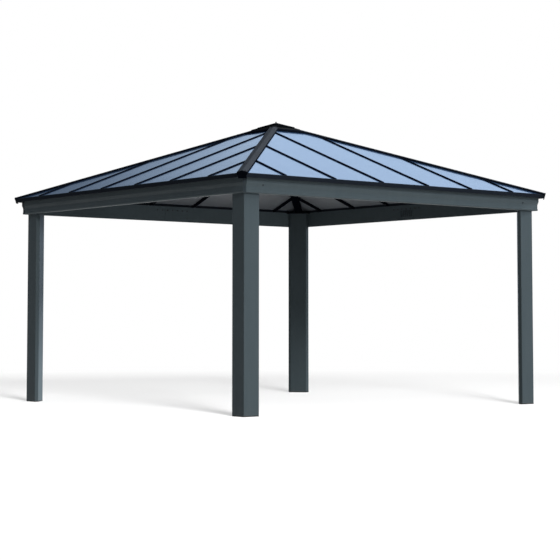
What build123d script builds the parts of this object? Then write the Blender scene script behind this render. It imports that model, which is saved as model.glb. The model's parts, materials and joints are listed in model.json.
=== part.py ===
from build123d import *
import os
from math import acos, atan, cos, radians, sin, sqrt, tan

os.makedirs("parts", exist_ok=True)

# Overall sizes, in millimetres and degrees
roof_side = 4300
roof_pitch = 21
eave_setback = 123
clear_height = 2135

# Corner posts: two wide faces, two narrow leg ends and a diagonal inner face
leg_width = 186
leg_end = 45
post_wall = 2.5
post_radius = 5
foot_thickness = 10

# Beams: a hollow rail with a bottom bead and a flared top
beam_height = 183
beam_depth = 41
beam_wall = 2.5
beam_flare = 10
flare_start = 62
flare_end = 104
bead_height = 22
bead_proud = 2
bead_round = 14
groove_width = 4
groove_depth = 1.5
groove_height = 18

# Corner brackets, on the post heads between the beams
bracket_thickness = 12
bracket_reach = 30
splice_length = 220
splice_thickness = 4
splice_margin = 14

# Roof covering
panel_thickness = 10
panel_clearance = 2
bar_spacing = 640
bars_each_side = 6
bar_width = 28
bar_rise = 10
bar_round = 3
bar_web = 6
bar_drop = 28

# Eave trim
fascia_height = 36
trim_wall = 3
trim_lip = 16
trim_slot = 8
trim_foot = 47
trim_return = 12
trim_gap = 3

# Hips
hip_cap_width = 104
hip_cap_rise = 1
hip_cap_wall = 3
hip_cap_round = 2.5
hip_rafter_width = 88
hip_rafter_depth = 58
hip_rafter_wall = 3
hip_web = 10
hip_end_width = 78
hip_end_thickness = 8
hip_end_drop = 13
tip_cut = 32

# Apex
hub_half = 58
hub_depth = 70
apex_half = 235
apex_pitch = 20
apex_wall = 3
apex_rise = 19
apex_flat = 10
apex_notch = 150
notch_clearance = 3
nut_radius = 8
nut_height = 14
nut_chamfer = 3

# Worked out from the sizes above
roof_half = roof_side / 2
frame_half = roof_half - eave_setback
pitch = radians(roof_pitch)
beam_top = clear_height + beam_height
head_top = beam_top - bracket_thickness
beam_outer = frame_half + beam_depth + beam_flare
panel_drop = trim_wall + panel_thickness
plate_drop = panel_drop + trim_wall

# The eave edge is set so that the trim's sloping plate clears the top of the beam
plate_low_z = beam_top + trim_wall + trim_gap
eave_z = plate_low_z + plate_drop / cos(pitch) - (roof_half - beam_outer) * tan(pitch)
apex_z = eave_z + roof_half * tan(pitch)
fascia_bottom = eave_z - fascia_height

# A hip runs down the diagonal, and each roof plane falls away from it by hip_tilt
hip_slope = atan(tan(pitch) / sqrt(2))
hip_tilt = 0.5 * acos(cos(pitch) ** 2)
hip_dir = (1, 1, -tan(pitch))
hip_cap_half = hip_cap_width / 2
hip_end_half = hip_end_width / 2
hip_rafter_half = hip_rafter_width / 2
tip_distance = (roof_half * sqrt(2) - tip_cut) / cos(hip_slope)

corners = ["back_right", "back_left", "front_left", "front_right"]
sides = ["right", "back", "left", "front"]


def roof_z(across, drop=0):
    """Height of the roof plane at a distance from the centre line, less a drop square to it."""
    return eave_z + (roof_half - across) * tan(pitch) - drop / cos(pitch)


def hip_v(lateral, drop=0):
    """Height of the roof plane in a section square to a hip, at a distance from the ridge."""
    return -abs(lateral) * tan(hip_tilt) - drop / cos(hip_tilt)


def write(solid, label):
    solid.label = label
    export_step(solid, f"parts/{label}.step")


def write_turned(solid, stem, names):
    """The same piece at each corner or side, a quarter turn apart."""
    for turn, name in enumerate(names):
        write(solid.rotate(Axis.Z, 90 * turn), f"{stem}_{name}")


# A section square to the back right hip, with its origin on the ridge at the apex
hip_plane = Plane(origin=(0, 0, apex_z), x_dir=(-1, 1, 0), z_dir=hip_dir)

# The right roof plane, with its origin at the middle of the eave: X is along the eave, Y is up the slope
roof_plane = Plane(origin=(roof_half, 0, eave_z), x_dir=(0, 1, 0), z_dir=(sin(pitch), 0, cos(pitch)))

# A section square to the slope of the right roof plane: X is along the eave, Y stands off the roof
slope_plane = Plane(origin=(roof_half, 0, eave_z), x_dir=(0, -1, 0), z_dir=(-cos(pitch), 0, sin(pitch)))
slope_length = roof_half / cos(pitch)


def mitre_planes(lateral):
    """Upright planes beside the two diagonals that bound the right side, square distance from them."""
    start = (lateral * sqrt(2), 0, 0)
    return [Plane(origin=start, z_dir=(1, -1, 0)), Plane(origin=start, z_dir=(1, 1, 0))]


def tip_planes(short):
    """Planes square to the two hips that bound the right side, short of the hips' ends."""
    end = hip_plane.offset(tip_distance - short).origin
    mirrored = (end.X, -end.Y, end.Z)
    return [Plane(origin=end, z_dir=hip_dir), Plane(origin=mirrored, z_dir=(1, -1, -tan(pitch)))]


def corner_outline(reach):
    """A square corner whose wide faces run in by reach, with narrow ends and a diagonal inner face."""
    far = frame_half - reach
    near = frame_half - leg_end
    return [(frame_half, frame_half), (far, frame_half), (far, near), (near, far), (frame_half, far)]


# Posts
with BuildPart() as post:
    with BuildSketch(Plane.XY.offset(foot_thickness)) as post_section:
        with BuildLine():
            Polyline(*corner_outline(leg_width), close=True)
        make_face()
        fillet(post_section.vertices(), post_radius)
        offset(amount=-post_wall, mode=Mode.SUBTRACT)
    extrude(amount=head_top - foot_thickness)
write_turned(post.part, "post", corners)

# Foot plates
with BuildPart() as foot:
    with BuildSketch() as foot_outline:
        with BuildLine():
            Polyline(*corner_outline(leg_width), close=True)
        make_face()
        fillet(foot_outline.vertices(), post_radius)
    extrude(amount=foot_thickness)
write_turned(foot.part, "foot_plate", corners)

# Corner brackets
with BuildPart() as bracket:
    with BuildSketch(Plane.XY.offset(head_top)):
        with BuildLine():
            Polyline(*corner_outline(leg_width + bracket_reach), close=True)
        make_face()
    extrude(amount=bracket_thickness)
write_turned(bracket.part, "corner_bracket", corners)

# Beams
with BuildPart() as beam:
    with BuildSketch(Plane.XZ) as beam_section:
        with BuildLine():
            x_out = frame_half + beam_depth
            z_low = clear_height
            bead = Polyline(
                (frame_half, beam_top),
                (frame_half, z_low),
                (x_out + bead_proud, z_low),
                (x_out + bead_proud, z_low + bead_height),
                (x_out, z_low + bead_height + bead_proud),
                (x_out, z_low + flare_start),
            )
            cove = Spline(
                bead @ 1,
                (x_out + beam_flare, z_low + flare_end),
                tangents=((0, 1), (0, 1)),
            )
            Polyline(cove @ 1, (x_out + beam_flare, beam_top), (frame_half, beam_top))
        make_face()
        fillet(beam_section.vertices().group_by(Axis.Y)[0].sort_by(Axis.X)[-1], bead_round)
        with Locations((frame_half + groove_depth / 2, z_low + groove_height)):
            Rectangle(groove_depth, groove_width, mode=Mode.SUBTRACT)
        with BuildLine():
            Polyline(
                (frame_half + beam_wall, beam_top - beam_wall),
                (frame_half + beam_wall, z_low + beam_wall),
                (x_out - bead_round, z_low + beam_wall),
                (x_out - beam_wall, z_low + bead_round),
                (x_out - beam_wall, z_low + flare_start),
                (x_out + beam_flare - beam_wall, z_low + flare_end),
                (x_out + beam_flare - beam_wall, beam_top - beam_wall),
                close=True,
            )
        make_face(mode=Mode.SUBTRACT)
    extrude(amount=roof_half, both=True)
    for plane in mitre_planes(0):
        split(bisect_by=plane, keep=Keep.TOP)
write_turned(beam.part, "beam", sides)

# Splice plates at the middle of each beam, on its inner face
with BuildPart() as splices:
    with PolarLocations(frame_half - splice_thickness / 2, 4):
        with Locations((0, 0, clear_height + beam_height / 2)):
            Box(splice_thickness, splice_length, beam_height - 2 * splice_margin)
write(splices.part, "splice_plates")

# Eave trim
with BuildPart() as trim:
    with BuildSketch(Plane.XZ):
        with BuildLine():
            x_web = frame_half + trim_wall
            x_fascia = roof_half - trim_wall
            x_lip = roof_half - trim_lip
            x_slot = roof_half - trim_slot
            Polyline(
                (frame_half, beam_top),
                (frame_half + trim_foot, beam_top),
                (frame_half + trim_foot, beam_top + trim_wall),
                (x_web, beam_top + trim_wall),
                (x_web, roof_z(x_web, plate_drop)),
                (x_fascia, roof_z(x_fascia, plate_drop)),
                (x_fascia, fascia_bottom + trim_wall),
                (x_fascia - trim_return, fascia_bottom + trim_wall),
                (x_fascia - trim_return, fascia_bottom),
                (roof_half, fascia_bottom),
                (roof_half, eave_z),
                (x_lip, roof_z(x_lip)),
                (x_lip, roof_z(x_lip, trim_wall)),
                (x_slot, roof_z(x_slot, trim_wall)),
                (x_slot, roof_z(x_slot, panel_drop)),
                (frame_half, roof_z(frame_half, panel_drop)),
                close=True,
            )
        make_face()
    extrude(amount=roof_half, both=True)
    for plane in mitre_planes(0):
        split(bisect_by=plane, keep=Keep.TOP)
    for plane in tip_planes(0):
        split(bisect_by=plane, keep=Keep.BOTTOM)
write_turned(trim.part, "eave_trim", sides)

# Roof panels of one side, between the glazing bars
bar_places = [(index - (bars_each_side - 1) / 2) * bar_spacing for index in range(bars_each_side)]
panel_edges = [-roof_half] + bar_places + [roof_half]
panel_gap = bar_web / 2 + panel_clearance
with BuildPart() as panels:
    with BuildSketch(roof_plane.offset(-panel_drop)):
        for low, high in zip(panel_edges[:-1], panel_edges[1:]):
            middle = (low + high) / 2
            with Locations((middle, slope_length / 2)):
                Rectangle(high - low - 2 * panel_gap, slope_length)
        eave_inset = (trim_slot + panel_clearance) / cos(pitch)
        with Locations((0, eave_inset / 2)):
            Rectangle(roof_side, eave_inset, mode=Mode.SUBTRACT)
    extrude(amount=panel_thickness)
    for plane in mitre_planes(hip_web / 2 + panel_clearance):
        split(bisect_by=plane, keep=Keep.TOP)
    for plane in tip_planes(panel_clearance):
        split(bisect_by=plane, keep=Keep.BOTTOM)
write_turned(panels.part, "roof_panels", sides)

# Glazing bars of one side: a rafter under the panels, a web between them and a cap over them
with BuildPart() as rafters:
    with BuildSketch(slope_plane):
        for place in bar_places:
            with Locations((place, -panel_drop - bar_drop / 2)):
                Rectangle(bar_width, bar_drop)
    extrude(amount=slope_length)
    split(bisect_by=Plane(origin=(frame_half, 0, 0), z_dir=(-1, 0, 0)), keep=Keep.TOP)
    for plane in mitre_planes(hip_rafter_half):
        split(bisect_by=plane, keep=Keep.TOP)

with BuildPart() as bar_caps:
    with BuildSketch(slope_plane.offset(trim_lip / cos(pitch))) as cap_section:
        for place in bar_places:
            with Locations((place, -trim_wall + bar_rise / 2)):
                Rectangle(bar_width, bar_rise)
        fillet(cap_section.vertices().group_by(Axis.Y)[-1], bar_round)
        for place in bar_places:
            with Locations((place, -trim_wall - panel_thickness / 2)):
                Rectangle(bar_web, panel_thickness)
    extrude(amount=slope_length)
    for plane in mitre_planes(hip_cap_half):
        split(bisect_by=plane, keep=Keep.TOP)

with BuildPart() as bars:
    add(rafters.part)
    add(bar_caps.part)
write_turned(bars.part, "glazing_bars", sides)

# Hip rafters
rafter_v = hip_v(hip_rafter_half, panel_drop)
rafter_bottom = -panel_drop - hip_rafter_depth
with BuildPart() as hip_rafter:
    with BuildSketch(hip_plane) as rafter_section:
        with BuildLine():
            Polyline(
                (-hip_rafter_half, rafter_bottom),
                (hip_rafter_half, rafter_bottom),
                (hip_rafter_half, rafter_v),
                (0, hip_v(0, panel_drop)),
                (-hip_rafter_half, rafter_v),
                close=True,
            )
        make_face()
        offset(amount=-hip_rafter_wall, mode=Mode.SUBTRACT)
        web_bottom = hip_v(0, panel_drop) - hip_rafter_wall
        web_top = hip_cap_rise - hip_cap_wall
        with Locations((0, (web_bottom + web_top) / 2)):
            Rectangle(hip_web, web_top - web_bottom)
    extrude(amount=tip_distance)
    hub_face = (hub_half / sqrt(2), hub_half / sqrt(2), 0)
    split(bisect_by=Plane(origin=hub_face, z_dir=(1, 1, 0)), keep=Keep.TOP)
    split(bisect_by=Plane(origin=(frame_half, 0, 0), z_dir=(-1, 0, 0)), keep=Keep.TOP)
    split(bisect_by=Plane(origin=(0, frame_half, 0), z_dir=(0, -1, 0)), keep=Keep.TOP)
    split(bisect_by=Plane.XY.offset(beam_top), keep=Keep.TOP)
write_turned(hip_rafter.part, "hip_rafter", corners)

# The part of an eave trim that a hip cap passes over
with BuildPart() as lip_space:
    with BuildSketch(Plane.XZ):
        with BuildLine():
            Polyline(
                (x_lip, roof_z(x_lip)),
                (x_lip, roof_z(x_lip, panel_drop)),
                (roof_half, roof_z(roof_half, panel_drop)),
                (roof_half, roof_z(roof_half)),
                close=True,
            )
        make_face()
    extrude(amount=roof_half, both=True)

# Hip caps
flange_v = hip_v(hip_cap_half, trim_wall)
flange_inner = hip_cap_half - hip_cap_wall
with BuildPart() as hip_cap:
    with BuildSketch(hip_plane) as hip_cap_section:
        with BuildLine():
            Polyline(
                (-hip_cap_half, flange_v),
                (-hip_cap_half, hip_cap_rise),
                (hip_cap_half, hip_cap_rise),
                (hip_cap_half, flange_v),
                (flange_inner, hip_v(flange_inner, trim_wall)),
                (flange_inner, hip_cap_rise - hip_cap_wall),
                (-flange_inner, hip_cap_rise - hip_cap_wall),
                (-flange_inner, hip_v(flange_inner, trim_wall)),
                close=True,
            )
        make_face()
        fillet(hip_cap_section.vertices().group_by(Axis.Y)[-1], hip_cap_round)
    extrude(amount=tip_distance)
    hub_edge = (hip_cap_half / sqrt(2) + hip_cap_wall, hip_cap_half / sqrt(2) + hip_cap_wall, 0)
    split(bisect_by=Plane(origin=hub_edge, z_dir=(1, 1, 0)), keep=Keep.TOP)
    add(lip_space.part, mode=Mode.SUBTRACT)
    add(lip_space.part.rotate(Axis.Z, 90), mode=Mode.SUBTRACT)
write_turned(hip_cap.part, "hip_cap", corners)

# Hip end caps
ridge_end_z = apex_z - tip_distance * sin(hip_slope)
end_bottom = (fascia_bottom - hip_end_drop - ridge_end_z) / cos(hip_slope)
with BuildPart() as end_cap:
    with BuildSketch(hip_plane.offset(tip_distance)):
        with BuildLine():
            Polyline(
                (-hip_cap_half, flange_v),
                (-hip_cap_half, hip_cap_rise),
                (hip_cap_half, hip_cap_rise),
                (hip_cap_half, flange_v),
                (hip_end_half, flange_v - (hip_cap_half - hip_end_half)),
                (hip_end_half, end_bottom),
                (-hip_end_half, end_bottom),
                (-hip_end_half, flange_v - (hip_cap_half - hip_end_half)),
                close=True,
            )
        make_face()
    extrude(amount=hip_end_thickness)
write_turned(end_cap.part, "hip_end_cap", corners)

# Hub where the four hip rafters meet
hub_top = roof_z(hub_half * sqrt(2), panel_drop)
with BuildPart() as hub:
    with BuildSketch(Plane.XY.offset(hub_top - hub_depth)):
        Rectangle(2 * hub_half, 2 * hub_half, rotation=45)
    extrude(amount=hub_depth)
write(hub.part, "apex_hub")

# The space under the top faces of the roof panels near the apex, wider than the apex cap
space_half = 2 * apex_half
space_top = roof_z(apex_flat, trim_wall)
with BuildPart() as panel_space:
    with BuildSketch(Plane.XY.offset(roof_z(space_half, trim_wall))):
        Rectangle(2 * space_half, 2 * space_half)
    extrude(amount=space_top - roof_z(space_half, trim_wall), taper=90 - roof_pitch)

# Apex cap: a low hollow pyramid with a skirt, notched over the hips
cap_top = apex_z + apex_rise
cap_slope = radians(apex_pitch)
skirt_bottom = roof_z(apex_half, trim_wall)


def low_pyramid(inset):
    """A square block with a pyramid top, smaller all round than the apex cap's outside."""
    half = apex_half - inset
    rise = (half - apex_flat) * tan(cap_slope)
    edge = cap_top - inset / cos(cap_slope) - rise
    with BuildPart() as pyramid:
        with BuildSketch(Plane.XY.offset(skirt_bottom)):
            Rectangle(2 * half, 2 * half)
        extrude(amount=edge - skirt_bottom)
        with BuildSketch(Plane.XY.offset(edge)):
            Rectangle(2 * half, 2 * half)
        extrude(amount=rise, taper=90 - apex_pitch)
    return pyramid.part


notch_length = apex_half * sqrt(2)
notch_start = apex_notch * sqrt(2)
with BuildPart() as apex_cap:
    add(low_pyramid(0))
    add(low_pyramid(apex_wall), mode=Mode.SUBTRACT)
    add(panel_space.part, mode=Mode.SUBTRACT)
    with BuildSketch(Plane.XY.offset(skirt_bottom)):
        with PolarLocations(notch_start + notch_length / 2, 4, start_angle=45):
            Rectangle(notch_length, hip_cap_width + 2 * notch_clearance)
    extrude(amount=cap_top - skirt_bottom, mode=Mode.SUBTRACT)
write(apex_cap.part, "apex_cap")

# Hexagon nut that holds the apex cap down
with BuildPart() as nut:
    with BuildSketch(Plane.XY.offset(cap_top)):
        RegularPolygon(nut_radius, 6)
    extrude(amount=nut_height)
    chamfer(nut.edges().group_by(Axis.Z)[-1], nut_chamfer)
write(nut.part, "apex_nut")
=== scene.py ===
import json
import math

import bmesh
import bpy
from mathutils import Matrix, Vector


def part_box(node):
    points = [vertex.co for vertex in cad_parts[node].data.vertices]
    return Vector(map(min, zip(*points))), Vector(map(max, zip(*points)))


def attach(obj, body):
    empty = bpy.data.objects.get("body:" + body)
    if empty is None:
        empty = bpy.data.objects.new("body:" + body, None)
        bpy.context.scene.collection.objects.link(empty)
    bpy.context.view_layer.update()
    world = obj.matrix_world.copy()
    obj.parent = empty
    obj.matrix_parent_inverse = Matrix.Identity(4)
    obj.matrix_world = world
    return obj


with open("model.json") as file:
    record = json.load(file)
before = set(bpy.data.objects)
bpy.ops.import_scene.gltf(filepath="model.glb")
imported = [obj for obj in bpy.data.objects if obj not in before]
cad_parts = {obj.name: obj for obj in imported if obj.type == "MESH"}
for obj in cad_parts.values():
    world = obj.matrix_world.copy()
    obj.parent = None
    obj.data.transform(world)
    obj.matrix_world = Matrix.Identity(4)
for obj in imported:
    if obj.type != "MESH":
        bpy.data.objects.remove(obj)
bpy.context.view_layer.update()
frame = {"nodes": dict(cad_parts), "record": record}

nodes = frame["nodes"]

CORNERS = ["front_left", "front_right", "back_right", "back_left"]
SIDES = ["front", "right", "back", "left"]


# Camera, from the photo's own perspective
CAMERA_PLACE = (-11.5195, -14.2888, 0.8961)
CAMERA_HEADING = 39.017
CAMERA_RISE = 3.651
SENSOR_WIDTH = 36.0
FOCAL_PIXELS = 1625.26
FRAME_PIXELS = 560
AXIS_ROW = 218.87

camera_data = bpy.data.cameras.new("camera")
camera_data.sensor_width = SENSOR_WIDTH
camera_data.lens = FOCAL_PIXELS / FRAME_PIXELS * SENSOR_WIDTH
camera_data.shift_y = (AXIS_ROW - FRAME_PIXELS / 2) / FRAME_PIXELS
camera_data.clip_end = 1000
camera = bpy.data.objects.new("camera", camera_data)
camera.location = CAMERA_PLACE
camera.rotation_euler = (math.radians(90 + CAMERA_RISE), 0, math.radians(-CAMERA_HEADING))
bpy.context.collection.objects.link(camera)
bpy.context.scene.camera = camera
bpy.context.scene.view_settings.view_transform = "Standard"


# Parts of a material
def new_material(name):
    material = bpy.data.materials.new(name)
    material.use_nodes = True
    tree = material.node_tree
    return material, tree, tree.nodes["Principled BSDF"]


def link(tree, source, target):
    tree.links.new(source, target)


def object_coords(tree):
    return tree.nodes.new("ShaderNodeTexCoord").outputs["Object"]


def noise(tree, coords, scale, detail=2.0, roughness=0.5):
    node = tree.nodes.new("ShaderNodeTexNoise")
    node.inputs["Scale"].default_value = scale
    node.inputs["Detail"].default_value = detail
    node.inputs["Roughness"].default_value = roughness
    link(tree, coords, node.inputs["Vector"])
    return node.outputs["Fac"]


def stretched(tree, coords, scale):
    node = tree.nodes.new("ShaderNodeMapping")
    node.inputs["Scale"].default_value = scale
    link(tree, coords, node.inputs["Vector"])
    return node.outputs["Vector"]


def spread(tree, value, low, high, to_low, to_high, smooth=False):
    node = tree.nodes.new("ShaderNodeMapRange")
    node.interpolation_type = "SMOOTHSTEP" if smooth else "LINEAR"
    node.inputs["From Min"].default_value = low
    node.inputs["From Max"].default_value = high
    node.inputs["To Min"].default_value = to_low
    node.inputs["To Max"].default_value = to_high
    link(tree, value, node.inputs["Value"])
    return node.outputs["Result"]


def arithmetic(tree, operation, first, second):
    node = tree.nodes.new("ShaderNodeMath")
    node.operation = operation
    for place, value in enumerate((first, second)):
        if isinstance(value, (int, float)):
            node.inputs[place].default_value = value
        elif value is not None:
            link(tree, value, node.inputs[place])
    return node.outputs["Value"]


def mixed(tree, factor, low, high):
    """Two colours mixed by a factor; each colour is a tuple or another node's output."""
    node = tree.nodes.new("ShaderNodeMix")
    node.data_type = "RGBA"
    link(tree, factor, node.inputs["Factor"])
    for socket, colour in (("A", low), ("B", high)):
        target = next(entry for entry in node.inputs if entry.name == socket and entry.type == "RGBA")
        if isinstance(colour, tuple):
            target.default_value = (*colour, 1)
        else:
            link(tree, colour, target)
    return next(entry for entry in node.outputs if entry.type == "RGBA")


def axes(tree, vector):
    node = tree.nodes.new("ShaderNodeSeparateXYZ")
    link(tree, vector, node.inputs["Vector"])
    return node.outputs


def bump(tree, shader, height, strength, distance):
    node = tree.nodes.new("ShaderNodeBump")
    node.inputs["Strength"].default_value = strength
    node.inputs["Distance"].default_value = distance
    link(tree, height, node.inputs["Height"])
    link(tree, node.outputs["Normal"], shader.inputs["Normal"])


def up_facing(tree, low, high):
    """0 on upright faces and 1 on faces that look up, by the piece's own normals."""
    normal = axes(tree, tree.nodes.new("ShaderNodeTexCoord").outputs["Normal"])
    return spread(tree, normal["Z"], low, high, 0, 1, smooth=True)


# Powder paint and moulded plastic
FLOOR_DUST = (0.20, 0.19, 0.17)
RUN_STRETCH = (16, 16, 1.2)
GRAIN_SCALE = 1100
PEEL_SCALE = 240


def powder_coat(name, colour, paler, roughness, gloss, dusty=0.0, top=None):
    """Fine-textured paint: a cloudy tone, faint runs down the face, orange peel and dust near the floor. A
    top colour, when given, is painted shade on the faces that look up.
    """
    material, tree, shader = new_material(name)
    coords = object_coords(tree)
    clouds = noise(tree, coords, 2.6, 4.0, 0.6)
    runs = noise(tree, stretched(tree, coords, RUN_STRETCH), 1.0, 3.0, 0.6)
    tone = spread(tree, arithmetic(tree, "ADD", clouds, runs), 0.75, 1.25, 0, 1)
    paint = mixed(tree, tone, colour, paler)
    if top:
        # painted shade: faces that look up take the darker top colour
        paint = mixed(tree, up_facing(tree, 0.3, 0.8), paint, top)
    if dusty:
        dust = tuple(0.6 * channel + 0.4 * shade for channel, shade in zip(paler, FLOOR_DUST))
        low_down = spread(tree, axes(tree, coords)["Z"], 0.012, 0.11, 1, 0, smooth=True)
        patches = spread(tree, noise(tree, coords, 38, 4.0, 0.7), 0.45, 0.75, 0, dusty)
        paint = mixed(tree, arithmetic(tree, "MULTIPLY", low_down, patches), paint, dust)
    link(tree, paint, shader.inputs["Base Color"])
    uneven = spread(tree, clouds, 0.3, 0.7, roughness - 0.05, roughness + 0.05)
    link(tree, uneven, shader.inputs["Roughness"])
    shader.inputs["Specular IOR Level"].default_value = gloss
    grain = noise(tree, coords, GRAIN_SCALE, 3.0, 0.6)
    peel = noise(tree, coords, PEEL_SCALE, 2.0, 0.5)
    bump(tree, shader, arithmetic(tree, "ADD", grain, peel), 0.18, 0.0004)
    return material


frame_paint = powder_coat(
    "anthracite_powder_coat",
    colour=(0.079, 0.104, 0.115),
    paler=(0.087, 0.113, 0.125),
    roughness=0.5,
    gloss=0.14,
    dusty=0.5,
)
bar_paint = powder_coat(
    "bar_matte_black",
    colour=(0.004, 0.006, 0.011),
    paler=(0.006, 0.008, 0.014),
    roughness=0.8,
    gloss=0.0,
)
roof_paint = powder_coat(
    "black_powder_coat",
    colour=(0.012, 0.015, 0.021),
    paler=(0.014, 0.018, 0.025),
    roughness=0.7,
    gloss=0.04,
)
hip_paint = powder_coat(
    "hip_ridge_grey",
    colour=(0.033, 0.035, 0.038),
    paler=(0.038, 0.040, 0.043),
    roughness=0.65,
    gloss=0.06,
)
apex_paint = powder_coat(
    "apex_cap_grey_painted_shade_top",
    colour=(0.030, 0.033, 0.036),
    paler=(0.038, 0.041, 0.045),
    roughness=0.7,
    gloss=0.0,
    # painted shade, near black, on the cap's upward faces; the grey is the cap's own paint
    top=(0.003, 0.004, 0.005),
)
foot_paint = powder_coat(
    "foot_plate_black",
    colour=(0.012, 0.013, 0.015),
    paler=(0.020, 0.021, 0.023),
    roughness=0.6,
    gloss=0.3,
    dusty=0.8,
)
screw_paint = powder_coat(
    "screw_black",
    colour=(0.014, 0.017, 0.020),
    paler=(0.022, 0.026, 0.030),
    roughness=0.42,
    gloss=0.5,
)
beam_end_plastic = powder_coat(
    "beam_end_plastic",
    colour=(0.036, 0.047, 0.054),
    paler=(0.041, 0.053, 0.060),
    roughness=0.55,
    gloss=0.12,
)
hip_end_plastic = powder_coat(
    "end_cap_black",
    colour=(0.002, 0.003, 0.005),
    paler=(0.004, 0.005, 0.008),
    roughness=0.7,
    gloss=0.0,
)


# Translucent roof sheet
FLUTE_PITCH = 0.0105
SHEET_BLUE = (0.027, 0.070, 0.165)
SHEET_WALL_BLUE = (0.036, 0.086, 0.190)
SHEET_HAZE = (0.052, 0.100, 0.185)
SHEET_OPAL = (0.235, 0.255, 0.28)
SHEET_CLEARNESS = 0.1


def twin_wall_sheet(name, across):
    """Twin-wall sheet: fine lines up the slope for its inner walls, and a matt, opal underside."""
    material, tree, shader = new_material(name)
    coords = object_coords(tree)
    cell = arithmetic(tree, "MULTIPLY", axes(tree, coords)[across], 2 * math.pi / FLUTE_PITCH)
    flute = arithmetic(tree, "COSINE", cell, None)
    walls = spread(tree, flute, 0.55, 1.0, 0, 1, smooth=True)
    stripe = mixed(tree, walls, SHEET_BLUE, SHEET_WALL_BLUE)
    haze = spread(tree, noise(tree, coords, 1.7, 5.0, 0.65), 0.35, 0.7, 0, 0.22)
    outer = mixed(tree, haze, stripe, SHEET_HAZE)
    outside = up_facing(tree, -0.4, 0.4)
    link(tree, mixed(tree, outside, SHEET_OPAL, outer), shader.inputs["Base Color"])
    sheen = spread(tree, noise(tree, coords, 6, 4.0, 0.6), 0.3, 0.7, 0.13, 0.2)
    matt_below = spread(tree, outside, 0, 1, 0.35, 0)
    link(tree, arithmetic(tree, "ADD", sheen, matt_below), shader.inputs["Roughness"])
    link(tree, spread(tree, outside, 0, 1, 0, 0.6), shader.inputs["Coat Weight"])
    shader.inputs["IOR"].default_value = 1.5
    shader.inputs["Coat Roughness"].default_value = 0.06
    shader.inputs["Transmission Weight"].default_value = SHEET_CLEARNESS
    bump(tree, shader, flute, 0.05, 0.0005)
    return material


sheet_front_back = twin_wall_sheet("twin_wall_sheet_front_back", "X")
sheet_left_right = twin_wall_sheet("twin_wall_sheet_left_right", "Y")


# Finishes on the CAD nodes
finish_of_slot = {
    "frame_paint": frame_paint,
    "roof_paint": roof_paint,
    "foot_plate": foot_paint,
    "end_cap": hip_end_plastic,
}
slot_of_node = {entry["node"]: entry["material_slot"] for entry in frame["record"]["subparts"]}


def dress(node, material):
    if not nodes[node].material_slots:
        nodes[node].data.materials.append(material)
    for slot in nodes[node].material_slots:
        slot.material = material


for node, slot in slot_of_node.items():
    if slot in finish_of_slot:
        dress(node, finish_of_slot[slot])
for side in SIDES:
    dress(f"glazing_bars_{side}", bar_paint)
for corner in CORNERS:
    dress(f"hip_cap_{corner}", bar_paint)
    dress(f"hip_rafter_{corner}", bar_paint)
    # the brackets' black in place of frame paint is painted shade for the dark patch where the hip rafters
    # meet the posts
    dress(f"corner_bracket_{corner}", roof_paint)
dress("apex_hub", bar_paint)
dress("apex_cap", apex_paint)
for side in ["front", "back"]:
    dress(f"roof_panels_{side}", sheet_front_back)
for side in ["left", "right"]:
    dress(f"roof_panels_{side}", sheet_left_right)


# Trees of Geometry Nodes that set small parts out on points
def new_tree(name, sizes):
    """A tree with geometry in and out and a named number for each size."""
    tree = bpy.data.node_groups.new(name, "GeometryNodeTree")
    tree.interface.new_socket("Geometry", in_out="INPUT", socket_type="NodeSocketGeometry")
    inputs = {}
    for label in sizes:
        socket = tree.interface.new_socket(label, in_out="INPUT", socket_type="NodeSocketFloat")
        inputs[label] = socket.identifier
    tree.interface.new_socket("Geometry", in_out="OUTPUT", socket_type="NodeSocketGeometry")
    return tree, inputs, tree.nodes.new("NodeGroupInput")


def put_on_points(tree, given, shape, material, rotation=None):
    """Copies of a shape on the given points, made real, painted and sent out."""
    placed = tree.nodes.new("GeometryNodeInstanceOnPoints")
    link(tree, given.outputs["Geometry"], placed.inputs["Points"])
    link(tree, shape, placed.inputs["Instance"])
    if rotation is not None:
        link(tree, rotation, placed.inputs["Rotation"])
    real = tree.nodes.new("GeometryNodeRealizeInstances")
    link(tree, placed.outputs["Instances"], real.inputs["Geometry"])
    painted = tree.nodes.new("GeometryNodeSetMaterial")
    painted.inputs["Material"].default_value = material
    link(tree, real.outputs["Geometry"], painted.inputs["Geometry"])
    result = tree.nodes.new("NodeGroupOutput")
    link(tree, painted.outputs["Geometry"], result.inputs["Geometry"])


# Shares of a screw head's height or radius
BEVEL_RISE = 0.22
BEVEL_TOP = 0.84
SOCKET_WIDTH = 0.55
SOCKET_DEPTH = 0.55
FLANGE_RISE = 0.28
FLANGE_WIDTH = 1.4


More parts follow.
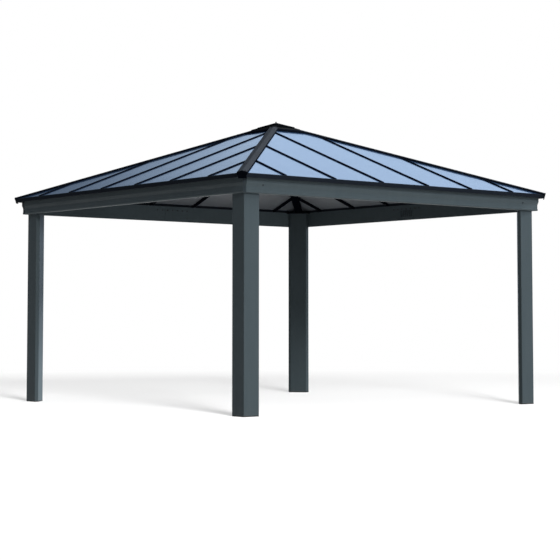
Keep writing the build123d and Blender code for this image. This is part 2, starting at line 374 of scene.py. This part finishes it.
def screw_tree(name, sides, material):
    """A flanged head on every point: a washer, a bevelled head and a socket sunk in its top."""
    tree, inputs, given = new_tree(name, ("Head Radius", "Head Height", "Sunk"))

    def drum(vertices, radius, depth, lift):
        node = tree.nodes.new("GeometryNodeMeshCylinder")
        node.inputs["Vertices"].default_value = vertices
        link(tree, radius, node.inputs["Radius"])
        link(tree, depth, node.inputs["Depth"])
        shift = tree.nodes.new("GeometryNodeTransform")
        offset = tree.nodes.new("ShaderNodeCombineXYZ")
        link(tree, lift, offset.inputs["Z"])
        link(tree, offset.outputs["Vector"], shift.inputs["Translation"])
        link(tree, node.outputs["Mesh"], shift.inputs["Geometry"])
        return shift.outputs["Geometry"], node.outputs["Top"]

    def stepped_top(mesh, selection, share, factor):
        """Pull the chosen faces out by a share of the head's height and make them smaller."""
        pull = tree.nodes.new("GeometryNodeExtrudeMesh")
        pull.inputs["Individual"].default_value = False
        link(tree, mesh, pull.inputs["Mesh"])
        link(tree, selection, pull.inputs["Selection"])
        link(tree, arithmetic(tree, "MULTIPLY", height, share), pull.inputs["Offset Scale"])
        scale = tree.nodes.new("GeometryNodeScaleElements")
        scale.inputs["Scale"].default_value = factor
        link(tree, pull.outputs["Mesh"], scale.inputs["Geometry"])
        link(tree, pull.outputs["Top"], scale.inputs["Selection"])
        return scale.outputs["Geometry"], pull.outputs["Top"]

    radius = given.outputs["Head Radius"]
    height = given.outputs["Head Height"]
    sunk = given.outputs["Sunk"]
    middle = arithmetic(tree, "MULTIPLY", arithmetic(tree, "SUBTRACT", height, sunk), 0.5)
    head, top = drum(sides, radius, arithmetic(tree, "ADD", height, sunk), middle)
    head, top = stepped_top(head, top, BEVEL_RISE, BEVEL_TOP)
    head, top = stepped_top(head, top, 0.0, SOCKET_WIDTH)
    head, top = stepped_top(head, top, -SOCKET_DEPTH, 1.0)
    flange_rise = arithmetic(tree, "MULTIPLY", height, FLANGE_RISE)
    flange_middle = arithmetic(tree, "MULTIPLY", arithmetic(tree, "SUBTRACT", flange_rise, sunk), 0.5)
    flange_radius = arithmetic(tree, "MULTIPLY", radius, FLANGE_WIDTH)
    flange = drum(16, flange_radius, arithmetic(tree, "ADD", flange_rise, sunk), flange_middle)[0]
    joined = tree.nodes.new("GeometryNodeJoinGeometry")
    link(tree, head, joined.inputs["Geometry"])
    link(tree, flange, joined.inputs["Geometry"])
    outward = tree.nodes.new("GeometryNodeInputNamedAttribute")
    outward.data_type = "FLOAT_VECTOR"
    outward.inputs["Name"].default_value = "outward"
    aligned = tree.nodes.new("FunctionNodeAlignRotationToVector")
    aligned.axis = "Z"
    link(tree, outward.outputs["Attribute"], aligned.inputs["Vector"])
    put_on_points(tree, given, joined.outputs["Geometry"], material, aligned.outputs["Rotation"])
    return tree, inputs


def rib_tree(name, material):
    """An upright pressed rib on every point."""
    tree, inputs, given = new_tree(name, ("Rib Radius", "Rib Length"))
    rod = tree.nodes.new("GeometryNodeMeshCylinder")
    rod.inputs["Vertices"].default_value = 16
    rod.inputs["Side Segments"].default_value = 4
    link(tree, given.outputs["Rib Radius"], rod.inputs["Radius"])
    link(tree, given.outputs["Rib Length"], rod.inputs["Depth"])
    put_on_points(tree, given, rod.outputs["Mesh"], material)
    return tree, inputs


round_heads = screw_tree("round_head_screws", 12, screw_paint)
hex_heads = screw_tree("hex_head_bolts", 6, screw_paint)
# The ribs' black paint is painted shade for the dark stripes on the splice plates.
pressed_ribs = rib_tree("pressed_ribs", roof_paint)


# Ways to make a piece
def add_piece(name, mesh):
    piece = bpy.data.objects.new(name, mesh)
    bpy.context.collection.objects.link(piece)
    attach(piece, "root")


def set_out(name, kind, places, sizes):
    """One piece with a copy at each place; a place is a point and the direction that the copy faces."""
    mesh = bpy.data.meshes.new(name + "_points")
    mesh.from_pydata([tuple(point) for point, _ in places], [], [])
    outward = mesh.attributes.new("outward", "FLOAT_VECTOR", "POINT")
    for index, (_, direction) in enumerate(places):
        outward.data[index].vector = Vector(direction).normalized()
    marker = bpy.data.objects.new(name + "_points", mesh)
    bpy.context.collection.objects.link(marker)
    modifier = marker.modifiers.new("copies", "NODES")
    tree, inputs = kind
    modifier.node_group = tree
    for label, value in sizes.items():
        modifier[inputs[label]] = value
    ready = marker.evaluated_get(bpy.context.evaluated_depsgraph_get())
    copies = bpy.data.meshes.new_from_object(ready)
    copies.name = name
    marker.modifiers.clear()
    bpy.data.objects.remove(marker)
    if "outward" in copies.attributes:
        copies.attributes.remove(copies.attributes["outward"])
    add_piece(name, copies)


def set_screws(name, kind, places, radius, height, sunk=0.001):
    sizes = {"Head Radius": radius, "Head Height": height, "Sunk": sunk}
    set_out(name, kind, places, sizes)


def turned(places, turns=(0, 1, 2, 3)):
    """The same places on all four sides or some of them, a quarter turn apart."""
    result = []
    for turn in turns:
        about = Matrix.Rotation(math.radians(90 * turn), 3, "Z")
        result += [(about @ Vector(point), about @ Vector(direction)) for point, direction in places]
    return result


def drawn_out(name, section, place, ends, paint):
    """A closed bar of one section between two ends, and the same a quarter turn apart."""
    shape = bmesh.new()
    for turn in range(4):
        about = Matrix.Rotation(math.radians(90 * turn), 3, "Z")
        near, far = [[shape.verts.new(about @ place(*point, end)) for point in section] for end in ends]
        for index in range(len(section)):
            after = (index + 1) % len(section)
            shape.faces.new((near[index], near[after], far[after], far[index]))
        shape.faces.new(near)
        shape.faces.new(far)
    bmesh.ops.recalc_face_normals(shape, faces=shape.faces)
    mesh = bpy.data.meshes.new(name)
    shape.to_mesh(mesh)
    shape.free()
    mesh.materials.append(paint)
    add_piece(name, mesh)


# Sizes of the frame, the same as in the part's source
FRAME_HALF = 2.027
LEG_WIDTH = 0.186
BEAM_TOP = 2.318
BEAM_FACE = 2.068
BRACKET_THICKNESS = 0.012
BRACKET_REACH = 0.030
SPLICE_THICKNESS = 0.004
ROOF_HALF = 2.15
BAR_SPACING = 0.64
FASCIA_HEIGHT = 0.036
TIP_CUT = 0.032
PITCH = math.radians(21)
EAVE_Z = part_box("eave_trim_front")[0][2] + FASCIA_HEIGHT
APEX_Z = EAVE_Z + ROOF_HALF * math.tan(PITCH)
BAR_PLACES = [(index - 2.5) * BAR_SPACING for index in range(6)]
HIP_SLOPE = math.atan(math.tan(PITCH) / math.sqrt(2))

# The front and back beams' screws into the brackets, through the outer face near each post
BEAM_SCREW_ALONG = 1.83
BEAM_SCREW_Z = 2.217
COVE_PROUD = 0.005
beam_screws = []
for side in (-1, 1):
    point = (BEAM_FACE + COVE_PROUD, side * BEAM_SCREW_ALONG, BEAM_SCREW_Z)
    beam_screws.append((point, (1, 0, 0)))
beam_screws = turned(beam_screws, (1, 3))
set_screws("beam_screws", round_heads, beam_screws, radius=0.0065, height=0.0045, sunk=0.006)

# Splice plates, on the beams' inner faces: bolts, and ribs on the left and right ones, whose black is
# painted shade for the dark stripes there
SPLICE_BOLT_Z = 2.27
RIB_MIDDLE_Z = 2.215
RIB_SPACING = 0.035
splice_face = FRAME_HALF - SPLICE_THICKNESS
inward = (-1, 0, 0)
on_plate = [((splice_face, along, SPLICE_BOLT_Z), inward) for along in (-0.075, 0.0, 0.075)]
on_beam = [((FRAME_HALF, along, SPLICE_BOLT_Z), inward) for along in (-0.22, -0.15, 0.15, 0.22)]
set_screws("splice_screws", hex_heads, turned(on_plate + on_beam), radius=0.0065, height=0.005)
rib_row = [(index - 2.5) * RIB_SPACING for index in range(6)]
ribs = [((splice_face + 0.001, along, RIB_MIDDLE_Z), inward) for along in rib_row]
rib_sizes = {"Rib Radius": 0.005, "Rib Length": 0.08}
set_out("splice_ribs", pressed_ribs, turned(ribs, (0, 2)), rib_sizes)

# Corner brackets, from below
bracket_low = BEAM_TOP - BRACKET_THICKNESS
beside_post = FRAME_HALF - LEG_WIDTH - BRACKET_REACH / 2
near_beam = FRAME_HALF - 0.03
bracket_bolts = []
for across, along in ((beside_post, near_beam), (near_beam, beside_post)):
    bracket_bolts.append(((across, along, bracket_low), (0, 0, -1)))
set_screws("bracket_bolts", hex_heads, turned(bracket_bolts), radius=0.0075, height=0.006)


# Glazing bars: a screw near the eave, and one more at the foot of the rafter below
CAP_SCREW_ACROSS = ROOF_HALF - 0.05
CAP_TOP = 0.007
FOOT_SCREW_ACROSS = FRAME_HALF - 0.045
RAFTER_LOW = -0.041


def on_roof(across, along, lift):
    """A point over the right roof plane, at a distance from the centre line and along the eave."""
    height = EAVE_Z + (ROOF_HALF - across) * math.tan(PITCH)
    return (across + lift * math.sin(PITCH), along, height + lift * math.cos(PITCH))


roof_up = (math.sin(PITCH), 0, math.cos(PITCH))
roof_down = (-math.sin(PITCH), 0, -math.cos(PITCH))
bar_ends = [(on_roof(CAP_SCREW_ACROSS, along, CAP_TOP), roof_up) for along in BAR_PLACES]
set_screws("bar_cap_screws", round_heads, turned(bar_ends), radius=0.0055, height=0.003)
rafter_feet = [(on_roof(FOOT_SCREW_ACROSS, along, RAFTER_LOW), roof_down) for along in BAR_PLACES]
set_screws("rafter_screws", hex_heads, turned(rafter_feet), radius=0.005, height=0.004)

# Hip caps: a low fold along the middle, its peak on each end cap, and screws on both sides of it
RIDGE_HALF = 0.049
RIDGE_LOW = 0.0022
RIDGE_HIGH = 0.0135
RIDGE_START = 0.19
PEAK_HALF = 0.050
PEAK_LOW = 0.003
PEAK_HIGH = 0.015
PEAK_LENGTH = 0.0078
fall = math.sin(HIP_SLOPE)
run = math.cos(HIP_SLOPE)
hip_up = Vector((fall / math.sqrt(2), fall / math.sqrt(2), run))
hip_out = Vector((run / math.sqrt(2), run / math.sqrt(2), -fall))
hip_side = Vector((-1, 1, 0)).normalized()
roof_point = Vector((0, 0, APEX_Z))
tip_distance = (ROOF_HALF * math.sqrt(2) - TIP_CUT) / run


def along_hip(across, lift, along):
    """A point on the hip of the back right corner, square to its slope."""
    return roof_point + hip_out * along + hip_up * lift + hip_side * across


def folded(half, low, high):
    """The section of a folded strip: low edges and a rounded ridge."""
    rounded = [(-0.003, high - 0.0004), (0.0, high), (0.003, high - 0.0004)]
    return [(-half, 0.0005), (-half, low), *rounded, (half, low), (half, 0.0005)]


ridge_section = folded(RIDGE_HALF, RIDGE_LOW, RIDGE_HIGH)
drawn_out("hip_ridges", ridge_section, along_hip, (RIDGE_START, tip_distance), hip_paint)
peak_section = folded(PEAK_HALF, PEAK_LOW, PEAK_HIGH)
peak_ends = (tip_distance, tip_distance + PEAK_LENGTH)
drawn_out("hip_end_peaks", peak_section, along_hip, peak_ends, hip_end_plastic)

HIP_SCREW_ACROSS = 0.030
fold = (RIDGE_HIGH - RIDGE_LOW) / RIDGE_HALF
screw_lift = RIDGE_HIGH - fold * HIP_SCREW_ACROSS
hip_screws = []
for along in (0.45, tip_distance - 0.06):
    for side in (-1, 1):
        point = along_hip(side * HIP_SCREW_ACROSS, screw_lift, along)
        hip_screws.append((point, hip_up + hip_side * side * fold))
set_screws("hip_cap_screws", round_heads, turned(hip_screws), radius=0.0055, height=0.003)

# Black strip round the foot of the apex cap, between the hips: painted shadow for the shade under the cap's
# skirt
HIP_CLEARANCE = 0.076
shadow_strip_section = [(0.232, -0.0035), (0.286, -0.0035), (0.286, 0.0115), (0.281, 0.0135), (0.232, 0.0135)]


def beside_apex(across, lift, end):
    """A point round the apex cap: each end of a painted shadow strip stops short of a hip."""
    return Vector(on_roof(across, end * (across - HIP_CLEARANCE), lift))


drawn_out("apex_painted_shadow_strips", shadow_strip_section, beside_apex, (-1, 1), bar_paint)

# Closing strips on the beams' ends, each on the outer face beside a corner and as proud as its wall
STRIP_EDGE = 2.034
STRIP_PROUD = 0.0015
STRIP_SUNK = 0.0005
bead = [(0.002, 2.137), (0.002, 2.156), (0.0, 2.159)]
cove = [(0.0, 2.197), (0.0016, 2.207), (0.005, 2.218), (0.0084, 2.229), (0.010, 2.239)]
beam_outside = bead + cove + [(0.010, 2.316)]
strip_section = [(depth + STRIP_PROUD, height) for depth, height in beam_outside]
strip_section += [(depth - STRIP_SUNK, height) for depth, height in reversed(beam_outside)]


def beside_corner(depth, height, end):
    """A point on the front beam's outer face, at the strip's edge or at the mitre."""
    face = -(BEAM_FACE + depth)
    return Vector((face if end else -STRIP_EDGE, face, height))


drawn_out("beam_end_caps", strip_section, beside_corner, (0, 1), beam_end_plastic)

# Hub, from below
HUB_BOLT_OUT = 0.045
hub_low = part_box("apex_hub")[0][2]
hub_bolts = [((HUB_BOLT_OUT, 0.0, hub_low), (0, 0, -1))]
set_screws("hub_bolts", hex_heads, turned(hub_bolts), radius=0.008, height=0.007)


# Floor: white to the camera with the shadow kept, and dim to the light that it throws back
FLOOR_HALF = 400.0
FLOOR_GREY = (0.15, 0.15, 0.15, 1)
FLOOR_WHITE = (0.96, 0.96, 0.96, 1)
SHADOW_REACH = (7.0, 13.0)
GLOW_NEAR = 0.45
floor_corners = [(-1, -1), (1, -1), (1, 1), (-1, 1)]
floor_mesh = bpy.data.meshes.new("floor")
floor_mesh.from_pydata([(x * FLOOR_HALF, y * FLOOR_HALF, 0) for x, y in floor_corners], [], [(0, 1, 2, 3)])
floor = bpy.data.objects.new("floor", floor_mesh)
bpy.context.collection.objects.link(floor)
floor_material, floor_tree, floor_shader = new_material("pale_floor")
floor_shader.inputs["Base Color"].default_value = FLOOR_GREY
floor_shader.inputs["Roughness"].default_value = 0.9
floor_shader.inputs["Specular IOR Level"].default_value = 0.0
floor_mesh.materials.append(floor_material)

# 1 for what the camera sees, straight or by way of gloss or a clear wall, and 0 for bounced light
floor_path = floor_tree.nodes.new("ShaderNodeLightPath")
floor_seen = floor_path.outputs["Is Camera Ray"]
for kind in ("Is Glossy Ray", "Is Transmission Ray"):
    floor_seen = arithmetic(floor_tree, "MAXIMUM", floor_seen, floor_path.outputs[kind])
white_paper = floor_tree.nodes.new("ShaderNodeBsdfDiffuse")
white_paper.inputs["Color"].default_value = FLOOR_WHITE
white_glow = floor_tree.nodes.new("ShaderNodeEmission")
white_glow.inputs["Strength"].default_value = 1.0
away = floor_tree.nodes.new("ShaderNodeVectorMath")
away.operation = "LENGTH"
link(floor_tree, object_coords(floor_tree), away.inputs[0])
glow_share = spread(floor_tree, away.outputs["Value"], *SHADOW_REACH, GLOW_NEAR, 1.0, smooth=True)
paper = floor_tree.nodes.new("ShaderNodeMixShader")
link(floor_tree, glow_share, paper.inputs["Fac"])
link(floor_tree, white_paper.outputs["BSDF"], paper.inputs[1])
link(floor_tree, white_glow.outputs["Emission"], paper.inputs[2])
both = floor_tree.nodes.new("ShaderNodeMixShader")
link(floor_tree, floor_seen, both.inputs["Fac"])
link(floor_tree, floor_shader.outputs["BSDF"], both.inputs[1])
link(floor_tree, paper.outputs["Shader"], both.inputs[2])
link(floor_tree, both.outputs["Shader"], floor_tree.nodes["Material Output"].inputs["Surface"])


# Light
def light_group(name, pieces, state):
    """The pieces that a light falls on or passes through."""
    group = bpy.data.collections.new(name)
    for place, piece in enumerate(pieces):
        group.objects.link(piece)
        group.collection_objects[place].light_linking.link_state = state
    return group


def soft_light(name, heading, rise, half_angle, strength, falls_on=None):
    """A distant soft light that comes from a heading and a rise, in degrees."""
    data = bpy.data.lights.new(name, "SUN")
    data.angle = math.radians(2 * half_angle)
    data.energy = strength
    light = bpy.data.objects.new(name, data)
    level = math.cos(math.radians(rise))
    turn = math.radians(heading)
    comes_from = Vector((math.cos(turn) * level, math.sin(turn) * level, math.sin(math.radians(rise))))
    light.rotation_euler = comes_from.to_track_quat("Z", "Y").to_euler()
    light.location = comes_from * 20
    light.visible_glossy = False
    bpy.context.collection.objects.link(light)
    if falls_on:
        light.light_linking.receiver_collection = falls_on
    return light


beams = [nodes[f"beam_{side}"] for side in SIDES] + [nodes["splice_plates"]]
panels = [nodes[f"roof_panels_{side}"] for side in SIDES]
only_floor = light_group("only_floor", [floor], "INCLUDE")
not_floor = light_group("not_floor", [floor], "EXCLUDE")
on_beams = light_group("on_beams", beams, "INCLUDE")
through_floor = light_group("through_floor", [floor], "EXCLUDE")
through_panels = light_group("through_panels", panels, "EXCLUDE")

soft_light("key_light", heading=254, rise=20, half_angle=6.5, strength=1.1)
soft_light("low_light", heading=262, rise=6, half_angle=6, strength=0.25)
soft_light("top_light", heading=44, rise=59.5, half_angle=14, strength=1.55, falls_on=not_floor)
soft_light("front_light", heading=319, rise=10, half_angle=13, strength=0.10)
# What the floor throws back up on the beams
beam_light = soft_light("beam_light", heading=262, rise=-7, half_angle=6, strength=0.33, falls_on=on_beams)
beam_light.light_linking.blocker_collection = through_floor
soft_light("floor_sky", heading=0, rise=90, half_angle=70, strength=1.2, falls_on=only_floor)
soft_light("right_light", heading=350, rise=19, half_angle=6.5, strength=4.3, falls_on=not_floor)

# The floor's own light, which the clear roof panels let through
floor_lamp_data = bpy.data.lights.new("floor_lamp", "AREA")
floor_lamp_data.shape = "DISK"
floor_lamp_data.size = 6.5
floor_lamp_data.energy = 11500
floor_lamp = bpy.data.objects.new("floor_lamp", floor_lamp_data)
floor_lamp.location = (-9.5, -22.0, 10.0)
floor_lamp.rotation_euler = floor_lamp.location.to_track_quat("Z", "Y").to_euler()
floor_lamp.visible_camera = False
floor_lamp.visible_glossy = False
bpy.context.collection.objects.link(floor_lamp)
floor_lamp.light_linking.receiver_collection = only_floor
floor_lamp.light_linking.blocker_collection = through_panels


# Surroundings: white to the camera and through the clear panels. Gloss sees a pale blue wall at the
# right, and all other light is dim.
WALL_BLUE = (0.56, 0.74, 1.0)
world = bpy.data.worlds.new("studio")
bpy.context.scene.world = world
world.use_nodes = True
studio = world.node_tree
backdrop = studio.nodes["Background"]
outlook = studio.nodes.new("ShaderNodeTexCoord").outputs["Generated"]
path = studio.nodes.new("ShaderNodeLightPath").outputs


def towards(heading):
    """1 in a heading, in degrees, falling to -1 in the opposite one."""
    turn = math.radians(heading)
    facing = studio.nodes.new("ShaderNodeVectorMath")
    facing.operation = "DOT_PRODUCT"
    facing.inputs[1].default_value = (math.cos(turn), math.sin(turn), 0)
    link(studio, outlook, facing.inputs[0])
    return facing.outputs["Value"]


gloss_wall = spread(studio, towards(-20), 0.10, 0.31, 0.21, 1.23, smooth=True)
soft_wall = spread(studio, towards(-75), -0.5, 0.8, 0.02, 0.16, smooth=True)
no_gloss = arithmetic(studio, "SUBTRACT", 1.0, path["Is Glossy Ray"])
gloss_part = arithmetic(studio, "MULTIPLY", path["Is Glossy Ray"], gloss_wall)
soft_part = arithmetic(studio, "MULTIPLY", no_gloss, soft_wall)
shade = arithmetic(studio, "ADD", gloss_part, soft_part)
straight = arithmetic(studio, "MAXIMUM", path["Is Camera Ray"], path["Is Transmission Ray"])
link(studio, arithmetic(studio, "MAXIMUM", straight, shade), backdrop.inputs["Strength"])
wall_tint = mixed(studio, path["Is Glossy Ray"], (1.0, 1.0, 1.0), WALL_BLUE)
link(studio, wall_tint, backdrop.inputs["Color"])
